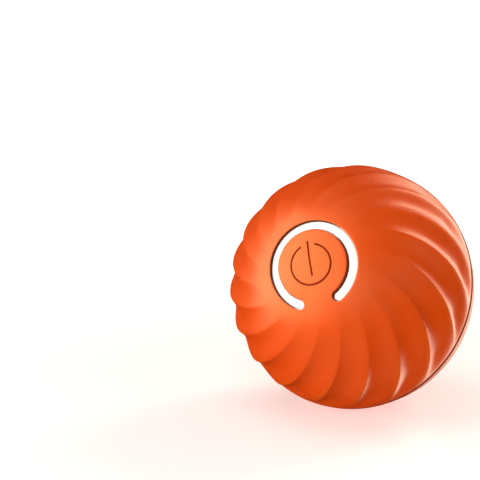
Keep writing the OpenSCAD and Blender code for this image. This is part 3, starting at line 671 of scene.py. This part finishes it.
def ring_outline(slot, half):
    """Plan points of a strip with round ends along the slot, half to each side of its middle line."""
    along = np.linspace(slot.gap, 360 - slot.gap, RING_COLUMNS)
    outer = np.column_stack((np.sin(np.radians(along)), -np.cos(np.radians(along))))
    far_end = slot.end * np.array((-1, 1))
    round_end = np.arange(1, RING_END_COLUMNS) * 180 / RING_END_COLUMNS
    far = far_end + polar_plan(half, 270 - slot.gap + round_end)
    near = slot.end + polar_plan(half, 90 + slot.gap + round_end)
    return np.concatenate((outer * (slot.middle + half), far, outer[::-1] * (slot.middle - half), near))


class DOGBALL_OT_light_ring(bpy.types.Operator):
    """Milky light guide that stands in the slot on its flange"""

    bl_idname = "dogball.light_ring"
    bl_label = "Light ring"

    def execute(self, context):
        sizes = context.scene.ball_sizes
        slot = SlotEdge(sizes)
        half = slot.half - millimetres(sizes.ring_clear)
        top = millimetres(sizes.ring_top)
        foot = millimetres(sizes.ring_foot)

        def outline(grow):
            return ring_outline(slot, half - grow)

        flange = ring_outline(slot, slot.half + FLANGE_OUT)
        rows = [on_sphere(outline(grow), top) for grow in np.linspace(half, RING_ROUND, RING_TOP_ROWS)[:-1]]
        rows += rounded_edge(outline, top, RING_ROUND)[::-1]
        rows += [at_height(outline(0), foot), at_height(flange, foot), at_height(flange, foot - FLANGE_THICK)]
        rows.append(at_height(ring_outline(slot, 0), foot - FLANGE_THICK))
        piece = skin_from_rows("milky_light_ring", rows, LIE)
        piece.data.materials.append(opal_acrylic(context.scene.ball_colours))
        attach(piece, "shell")
        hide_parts("light_ring")
        return {"FINISHED"}


# Finishes


def add(tree, kind, sockets, **settings):
    """A node with its settings, its plain values and its links."""
    node = tree.nodes.new(kind)
    for name, value in settings.items():
        setattr(node, name, value)
    for name, value in sockets.items():
        if isinstance(value, bpy.types.NodeSocket):
            tree.links.new(value, node.inputs[name])
        else:
            node.inputs[name].default_value = value
    return node


def new_finish(name):
    """An empty material, with the object's own coordinates."""
    material = bpy.data.materials.new(name)
    material.use_nodes = True
    tree = material.node_tree
    tree.nodes.clear()
    place = add(tree, "ShaderNodeTexCoord", {}).outputs["Object"]
    return material, tree, place


def per_metre(size_mm):
    """The texture scale that gives a pattern of this size."""
    return 1 / (size_mm * MM)


def opaque(rgb):
    """A colour with full alpha."""
    return (*rgb, 1)


# In mm: the size of the rubber's handling marks, of its flow marks and of its grain, and the grain's depth
RUBBER_SMUDGE = 14
RUBBER_FLOW = 9
RUBBER_GRAIN = 0.6
GRAIN_DEPTH = 0.06

# The range that noise mostly fills, and the rubber's roughness at its two ends
NOISE_RANGE = (0.3, 0.7)
RUBBER_ROUGHNESS = (0.35, 0.42)

# How strong the grain and the highlights are
GRAIN_STRENGTH = 0.12
RUBBER_GLOSS = 0.8

# The share of a crest's height where its wear begins, and how far the worn colour covers its top
WORN_FROM = 0.8
WORN_SHARE = 0.6


def rubber_surface(tree, place, tint, colours, dark):
    """Satin moulded TPU round a base colour: soft sheen, faint handling marks and the mould's fine grain.

    Where dark is 1, in a gap or an engraved line that is painted dark, the surface is matt with dust.
    """
    smudges = add(
        tree,
        "ShaderNodeTexNoise",
        {"Vector": place, "Scale": per_metre(RUBBER_SMUDGE), "Detail": 3, "Roughness": 0.6},
    ).outputs["Fac"]
    rough = add(
        tree,
        "ShaderNodeMapRange",
        {
            "Value": smudges,
            "From Min": NOISE_RANGE[0],
            "From Max": NOISE_RANGE[1],
            "To Min": RUBBER_ROUGHNESS[0],
            "To Max": RUBBER_ROUGHNESS[1],
        },
    ).outputs["Result"]
    matt = add(tree, "ShaderNodeMapRange", {"Value": dark, "To Min": rough, "To Max": 1}).outputs["Result"]
    grain = add(
        tree, "ShaderNodeTexNoise", {"Vector": place, "Scale": per_metre(RUBBER_GRAIN), "Detail": 2}
    ).outputs["Fac"]
    bump = add(
        tree,
        "ShaderNodeBump",
        {"Height": grain, "Strength": GRAIN_STRENGTH, "Distance": GRAIN_DEPTH * MM},
    ).outputs["Normal"]
    shader = add(
        tree,
        "ShaderNodeBsdfPrincipled",
        {
            "Base Color": tint,
            "Roughness": matt,
            "IOR": 1.5,
            "Normal": bump,
            "Specular IOR Level": RUBBER_GLOSS,
            "Specular Tint": opaque(colours.sheen),
        },
    )
    add(tree, "ShaderNodeOutputMaterial", {"Surface": shader.outputs["BSDF"]})


def flowing_orange(tree, place, colours):
    """The rubber's orange, a little uneven where the melt flowed."""
    flow = add(
        tree,
        "ShaderNodeTexNoise",
        {"Vector": place, "Scale": per_metre(RUBBER_FLOW), "Detail": 4, "Distortion": 0.6},
    ).outputs["Fac"]
    return add(
        tree,
        "ShaderNodeMix",
        {"Factor": flow, "A": opaque(colours.rubber_deep), "B": opaque(colours.rubber)},
        data_type="RGBA",
    ).outputs["Result"]


# Moulded thermoplastic rubber: a satin, slightly uneven orange with soft wide highlights. Its real grain is
# about 0.1 mm, too fine to show, so it is drawn 0.6 mm wide.
def moulded_rubber(colours):
    """Orange rubber of the skins and the plug, paler along the handled crests and painted with shade in the
    gaps.
    """
    found = bpy.data.materials.get("satin_moulded_rubber")
    if found:
        return found
    material, tree, place = new_finish("satin_moulded_rubber")
    base = flowing_orange(tree, place, colours)
    crest = add(tree, "ShaderNodeAttribute", {}, attribute_name="crest").outputs["Fac"]
    worn = add(
        tree,
        "ShaderNodeMapRange",
        {"Value": crest, "From Min": WORN_FROM, "From Max": 1, "To Min": 0, "To Max": WORN_SHARE},
    ).outputs["Result"]
    tint = add(
        tree, "ShaderNodeMix", {"Factor": worn, "A": base, "B": opaque(colours.crest)}, data_type="RGBA"
    ).outputs["Result"]
    # Where shade is painted: the inside, the walls of the openings and the seam
    inside = add(tree, "ShaderNodeAttribute", {}, attribute_name="painted_shade").outputs["Fac"]
    tint = add(
        tree, "ShaderNodeMix", {"Factor": inside, "A": tint, "B": opaque(colours.shaded)}, data_type="RGBA"
    ).outputs["Result"]
    rubber_surface(tree, place, tint, colours, inside)
    return material


# The same rubber with an engraved line: the line is painted dark for shade and dust, the walls for shade.
def engraved_rubber(colours):
    """Button rubber, with painted shade and dust in the engraved symbol and painted shade on its walls."""
    material, tree, place = new_finish("engraved_moulded_rubber")
    base = flowing_orange(tree, place, colours)
    # Where shade and dust are painted: the symbol's line, the button's edge and its walls
    line = add(tree, "ShaderNodeAttribute", {}, attribute_name="engraved").outputs["Fac"]
    tint = add(
        tree, "ShaderNodeMix", {"Factor": line, "A": base, "B": opaque(colours.engraved)}, data_type="RGBA"
    ).outputs["Result"]
    rubber_surface(tree, place, tint, colours, line)
    return material


# The size in mm of the clouds in the ring's milk, their colour, and the strength of its painted glow
RING_CLOUD = 6
RING_CLOUD_COLOUR = "F1F0EE"
PAINTED_RING_GLOW = 0.3


# Moulded opal acrylic: milky and smooth, with an even painted glow that makes it look nearly white.
def opal_acrylic(colours):
    """White light guide with a faint even painted glow and slightly cloudy milk."""
    material, tree, place = new_finish("opal_acrylic")
    cloud = add(
        tree, "ShaderNodeTexNoise", {"Vector": place, "Scale": per_metre(RING_CLOUD), "Detail": 2}
    ).outputs["Fac"]
    tint = add(
        tree,
        "ShaderNodeMix",
        {"Factor": cloud, "A": opaque(colours.ring), "B": opaque(linear(RING_CLOUD_COLOUR))},
        data_type="RGBA",
    ).outputs["Result"]
    shader = add(
        tree,
        "ShaderNodeBsdfPrincipled",
        {
            "Base Color": tint,
            "Roughness": 0.28,
            "IOR": 1.49,
            "Emission Color": opaque(colours.painted_ring_glow),
            "Emission Strength": PAINTED_RING_GLOW,
        },
    )
    add(tree, "ShaderNodeOutputMaterial", {"Surface": shader.outputs["BSDF"]})
    return material


# The pieces inside keep their CAD shapes. Each line gives the slot, the finish, its light and dark colour,
# the size of its pattern in mm, how far the pattern is drawn out along the ball's axis, its roughness, metal
# share, IOR and the depth of its relief in mm.
INNER_FINISHES = (
    # Glass-filled ABS, dull and a little cloudy from the mould
    ("core_plastic", "matt_moulded_abs", "E9E8E4", "DCDAD5", 3.0, 1, 0.5, 0, 1.53, 0.02),
    # Moulded silicone, dark with a soft bloom
    ("seal_rubber", "bloomed_silicone", "3A3A3C", "2C2C2E", 1.5, 1, 0.6, 0, 1.42, 0.02),
    # Solder mask over woven glass, green and faintly uneven from the weave under it
    ("circuit_board", "solder_mask", "1F6B3B", "175430", 0.8, 1, 0.35, 0, 1.5, 0.015),
    # Black nylon, slightly mottled
    ("black_plastic", "black_nylon", "232325", "1A1A1B", 1.2, 1, 0.45, 0, 1.53, 0.02),
    # Cast epoxy of the lamps, drawn opaque: pale and glossy, with a warm cast from the die inside it
    ("lamp_clear", "clear_lamp_epoxy", "F4F1E4", "E6E0C8", 0.7, 1, 0.12, 0, 1.54, 0.003),
    # Laminated pouch foil, dull silver with shallow creases
    ("cell_foil", "pouch_foil", "C9CBCE", "AEB1B5", 4.0, 1, 0.38, 0.8, 1.5, 0.06),
    # Closed-cell foam, pitted and matt
    ("foam_pad", "closed_cell_foam", "4A4A4D", "343437", 0.7, 1, 0.9, 0, 1.45, 0.12),
    # Extruded PVC, red, smooth and slightly uneven
    ("lead_cover", "extruded_pvc", "B92B27", "A22220", 1.0, 1, 0.35, 0, 1.53, 0.01),
    # Filled nylon of the drive frame, grey with flow marks
    ("frame_plastic", "filled_nylon", "6D7278", "5C6167", 2.5, 3, 0.5, 0, 1.53, 0.025),
    # Acetal, ivory and waxy
    ("gear_plastic", "acetal", "EFE9DA", "E2DAC6", 1.8, 1, 0.32, 0, 1.48, 0.01),
    # Nickel-plated drawn steel, bright with draw lines along the can
    ("motor_steel", "nickel_plated_steel", "C6C4BE", "A9A7A1", 0.5, 14, 0.26, 1, 1.5, 0.008),
    # Cast and tumbled steel, grey and slightly pitted
    ("weight_steel", "tumbled_steel", "8F9296", "74777B", 1.1, 1, 0.45, 1, 1.5, 0.04),
    # Zinc-plated steel of the screws, bluish and bright
    ("screw_steel", "zinc_plated_steel", "B9BEC4", "9BA1A9", 0.4, 1, 0.28, 1, 1.5, 0.006),
    # Stamped stainless steel of the socket's shell, bright with fine rolling lines
    ("socket_steel", "stamped_stainless", "C2C4C6", "A6A8AB", 0.4, 8, 0.3, 1, 1.5, 0.006),
    # Sintered bronze, warm and open-pored
    ("bush_brass", "sintered_bronze", "B88A4A", "946B36", 0.5, 1, 0.42, 1, 1.5, 0.02),
)


# How far the roughness strays to each side, as a share of it, and how strong the relief is
GLOSS_STRAY = 0.2
RELIEF_STRENGTH = 0.4


def inner_finish(name, light, dark, size_mm, drawn, roughness, metal, ior, relief_mm):
    """A finish with two tones, uneven gloss and a shallow relief from one pattern."""
    material, tree, place = new_finish(name)
    upright = add(
        tree, "ShaderNodeMapping", {"Vector": place, "Rotation": LIE.inverted().to_euler()}
    ).outputs["Vector"]
    stretched = add(
        tree, "ShaderNodeMapping", {"Vector": upright, "Scale": (1, 1, 1 / drawn)}
    ).outputs["Vector"]
    pattern = add(
        tree,
        "ShaderNodeTexNoise",
        {"Vector": stretched, "Scale": per_metre(size_mm), "Detail": 4, "Roughness": 0.55},
    ).outputs["Fac"]
    tint = add(
        tree,
        "ShaderNodeMix",
        {"Factor": pattern, "A": opaque(linear(light)), "B": opaque(linear(dark))},
        data_type="RGBA",
    ).outputs["Result"]
    stray = roughness * GLOSS_STRAY
    rough = add(
        tree,
        "ShaderNodeMapRange",
        {"Value": pattern, "To Min": roughness - stray, "To Max": roughness + stray},
    ).outputs["Result"]
    bump = add(
        tree,
        "ShaderNodeBump",
        {"Height": pattern, "Strength": RELIEF_STRENGTH, "Distance": relief_mm * MM},
    ).outputs["Normal"]
    shader = add(
        tree,
        "ShaderNodeBsdfPrincipled",
        {"Base Color": tint, "Roughness": rough, "Metallic": metal, "IOR": ior, "Normal": bump},
    )
    add(tree, "ShaderNodeOutputMaterial", {"Surface": shader.outputs["BSDF"]})
    return material


class DOGBALL_OT_inner_finishes(bpy.types.Operator):
    """Finishes of the core, drive, cell, boards and small hardware inside the ball"""

    bl_idname = "dogball.inner_finishes"
    bl_label = "Inner finishes"

    def execute(self, context):
        finishes = {slot: inner_finish(*values) for slot, *values in INNER_FINISHES}
        colours = context.scene.ball_colours
        finishes["soft_skin"] = moulded_rubber(colours)
        finishes["light_guide"] = bpy.data.materials["opal_acrylic"]
        for node in frame["nodes"].values():
            for place in node.material_slots:
                place.material = finishes[place.material.name]
        return {"FINISHED"}


# The studio

# In pixels: the photograph's side and focal length, and the place of the ball's centre
PHOTO_SIDE = 480
PHOTO_FOCUS = 1382
BALL_PIXEL = (352.5, 287)

# The camera's distance and nearest sight in metres, its angles in degrees, and its sensor's width in mm
CAMERA_DISTANCE = 0.453
CAMERA_NEAR = 0.01
CAMERA_AZIMUTH = 20
CAMERA_ELEVATION = 12
SENSOR = 36

# Rounds of aiming, after which the camera's turn no longer changes
AIM_ROUNDS = 20


def view_direction(azimuth, elevation):
    """From the ball towards a point at this azimuth from the front and this elevation, in degrees."""
    turn, lift = math.radians(azimuth), math.radians(elevation)
    return Vector((math.sin(turn) * math.cos(lift), -math.cos(turn) * math.cos(lift), math.sin(lift)))


def add_camera():
    """The camera, turned so that the ball's centre falls where the photograph has it."""
    eye = view_direction(CAMERA_AZIMUTH, CAMERA_ELEVATION) * CAMERA_DISTANCE
    right_share = (BALL_PIXEL[0] - PHOTO_SIDE / 2) / PHOTO_FOCUS
    down_share = (BALL_PIXEL[1] - PHOTO_SIDE / 2) / PHOTO_FOCUS
    look = -eye
    for _ in range(AIM_ROUNDS):
        turn = look.to_track_quat("-Z", "Y")
        depth = -eye.dot(turn @ Vector((0, 0, -1)))
        aim = turn @ Vector((-right_share * depth, down_share * depth, 0))
        look = aim - eye
    bpy.ops.object.camera_add(location=eye, rotation=look.to_track_quat("-Z", "Y").to_euler())
    camera = bpy.context.active_object
    camera.data.sensor_width = SENSOR
    camera.data.lens = PHOTO_FOCUS / PHOTO_SIDE * SENSOR
    camera.data.clip_start = CAMERA_NEAR
    bpy.context.scene.camera = camera


# Each line gives the lamp's name, its azimuth and elevation in degrees, its distance, width and height in
# metres, its watts and colour, and whether it fills the shade, makes highlights (shine) or does both.
LAMPS = (
    ("key_softbox", -54, 4, 0.9, 0.5, 0.5, 4.5, "FFFAF4", "fill"),
    ("sheen_softbox", -42, 20, 0.9, 1.6, 1.6, 50.0, "FFF0DC", "shine"),
    ("front_softbox", 16, 12, 1.0, 0.9, 0.5, 5.2, "FFFFFF", "fill"),
    ("side_softbox", 78, 12, 1.0, 0.5, 0.5, 1.8, "FFFFFF", "fill"),
    ("back_softbox", 157, 18, 0.9, 0.34, 1.1, 7.4, "FFEBD8", "fill and shine"),
    ("top_softbox", -60, 76, 1.2, 0.9, 0.9, 4.0, "FFFFFF", "fill"),
    ("under_front_softbox", 0, -66, 0.7, 0.9, 0.9, 2.3, "FFF4E6", "fill"),
    ("under_back_softbox", 156, -27, 0.5, 0.22, 0.34, 1.1, "FFEBD8", "fill and shine"),
)


def add_softbox(name, azimuth, elevation, distance, width, height, power, tint, use):
    """A soft rectangular lamp that faces the ball."""
    place = view_direction(azimuth, elevation) * distance
    bpy.ops.object.light_add(
        type="AREA", location=place, rotation=(-place).to_track_quat("-Z", "Y").to_euler()
    )
    lamp = bpy.context.active_object
    lamp.name = lamp.data.name = name
    lamp.data.shape = "RECTANGLE"
    lamp.data.size = width
    lamp.data.size_y = height
    lamp.data.energy = power
    lamp.data.color = linear(tint)
    lamp.visible_camera = False
    lamp.visible_diffuse = "fill" in use
    lamp.visible_glossy = "shine" in use


# The backdrop's radius in metres, its faces round and up, and the table's side, which reaches past it
BACKDROP_RADIUS = 4
BACKDROP_SEGMENTS = 64
BACKDROP_RINGS = 32
TABLE_SIDE = 4 * BACKDROP_RADIUS

# The size in mm of the clouds in the table's paint, their colour, and the roughness between which they vary
TABLE_CLOUD = 60
TABLE_CLOUD_COLOUR = "FAF9F8"
TABLE_ROUGHNESS = (0.16, 0.22)

# Distances from the ball's centre in metres over which the table's painted glow grows, and its strength
# there: the table is painted darker round the ball
TABLE_GLOW_RANGE = (0.05, 0.4)
TABLE_GLOW = (0.48, 1.1)

# Colour and strength of the light from all round
ROOM_COLOUR = "FFE8D0"
ROOM_LIGHT = 0.2


# Gloss-painted acrylic with a painted glow of its own: white, and smooth enough to hold a faint soft
# reflection.
# The glow is weaker round the ball, which paints the table darker there and leaves the ball's glow and shade
# on it.
def painted_table(colours):
    """White of the lit table and the backdrop, with slight cloudiness in its gloss."""
    material, tree, place = new_finish("gloss_white_table")
    cloud = add(
        tree, "ShaderNodeTexNoise", {"Vector": place, "Scale": per_metre(TABLE_CLOUD), "Detail": 2}
    ).outputs["Fac"]
    tint = add(
        tree,
        "ShaderNodeMix",
        {"Factor": cloud, "A": opaque(colours.floor), "B": opaque(linear(TABLE_CLOUD_COLOUR))},
        data_type="RGBA",
    ).outputs["Result"]
    rough = add(
        tree,
        "ShaderNodeMapRange",
        {"Value": cloud, "To Min": TABLE_ROUGHNESS[0], "To Max": TABLE_ROUGHNESS[1]},
    ).outputs["Result"]
    reach = add(tree, "ShaderNodeVectorMath", {0: place}, operation="LENGTH").outputs["Value"]
    # The table's painted glow, weaker round the ball
    glow = add(
        tree,
        "ShaderNodeMapRange",
        {
            "Value": reach,
            "From Min": TABLE_GLOW_RANGE[0],
            "From Max": TABLE_GLOW_RANGE[1],
            "To Min": TABLE_GLOW[0],
            "To Max": TABLE_GLOW[1],
        },
        interpolation_type="SMOOTHSTEP",
    ).outputs["Result"]
    shader = add(
        tree,
        "ShaderNodeBsdfPrincipled",
        {
            "Base Color": tint,
            "Roughness": rough,
            "IOR": 1.45,
            "Emission Color": opaque(colours.floor),
            "Emission Strength": glow,
        },
    )
    add(tree, "ShaderNodeOutputMaterial", {"Surface": shader.outputs["BSDF"]})
    return material


def add_room_light(scene):
    """Pale warm light from all round, which makes no highlights."""
    world = bpy.data.worlds.new("pale_studio")
    scene.world = world
    world.use_nodes = True
    background = world.node_tree.nodes["Background"]
    background.inputs["Color"].default_value = opaque(linear(ROOM_COLOUR))
    background.inputs["Strength"].default_value = ROOM_LIGHT
    world.cycles_visibility.glossy = False


class DOGBALL_OT_studio(bpy.types.Operator):
    """White table, soft lamps, pale surroundings and the camera"""

    bl_idname = "dogball.studio"
    bl_label = "Studio"

    def execute(self, context):
        bpy.ops.object.select_all(action="DESELECT")
        add_camera()
        bpy.ops.mesh.primitive_plane_add(size=TABLE_SIDE, location=(0, 0, 0))
        table = context.active_object
        table.name = table.data.name = "white_table"
        table.data.transform(Matrix.Translation((0, 0, cad_box[0].z)))
        bpy.ops.mesh.primitive_uv_sphere_add(
            segments=BACKDROP_SEGMENTS, ring_count=BACKDROP_RINGS, radius=BACKDROP_RADIUS, location=(0, 0, 0)
        )
        backdrop = context.active_object
        backdrop.name = backdrop.data.name = "white_backdrop"
        bpy.ops.object.shade_smooth()
        finish = painted_table(context.scene.ball_colours)
        # The table and the backdrop stop no light and send none to the ball: the lamps below shine through
        for surround in (table, backdrop):
            surround.data.materials.append(finish)
            surround.visible_diffuse = False
            surround.visible_glossy = False
            surround.visible_shadow = False
        for lamp in LAMPS:
            add_softbox(*lamp)
        add_room_light(context.scene)
        context.scene.view_settings.view_transform = "Standard"
        return {"FINISHED"}


class DOGBALL_PT_panel(bpy.types.Panel):
    """Pieces, sizes and colours of the ball"""

    bl_idname = "DOGBALL_PT_panel"
    bl_label = "Dog ball"
    bl_space_type = "VIEW_3D"
    bl_region_type = "UI"
    bl_category = "Dog ball"

    def draw(self, context):
        for operator in OPERATORS:
            self.layout.operator(operator.bl_idname)
        for group in (context.scene.ball_sizes, context.scene.ball_colours):
            column = self.layout.column()
            for name in group.__annotations__:
                column.prop(group, name)


OPERATORS = (
    DOGBALL_OT_studio,
    DOGBALL_OT_front_skin,
    DOGBALL_OT_rear_skin,
    DOGBALL_OT_power_button,
    DOGBALL_OT_light_ring,
    DOGBALL_OT_charge_plug,
    DOGBALL_OT_inner_finishes,
)
CLASSES = (BallSizes, BallColours, *OPERATORS, DOGBALL_PT_panel)


def register():
    """Registers the classes and hangs the sizes and colours on the scene."""
    for item in CLASSES:
        bpy.utils.register_class(item)
    bpy.types.Scene.ball_sizes = bpy.props.PointerProperty(type=BallSizes)
    bpy.types.Scene.ball_colours = bpy.props.PointerProperty(type=BallColours)


def unregister():
    """Takes the sizes, colours and classes away again."""
    del bpy.types.Scene.ball_colours
    del bpy.types.Scene.ball_sizes
    for item in reversed(CLASSES):
        bpy.utils.unregister_class(item)


def main():
    """Makes the studio and every piece."""
    register()
    bpy.ops.dogball.studio()
    bpy.ops.dogball.front_skin()
    bpy.ops.dogball.rear_skin()
    bpy.ops.dogball.power_button()
    bpy.ops.dogball.light_ring()
    bpy.ops.dogball.charge_plug()
    bpy.ops.dogball.inner_finishes()


if __name__ == "__main__":
    main()
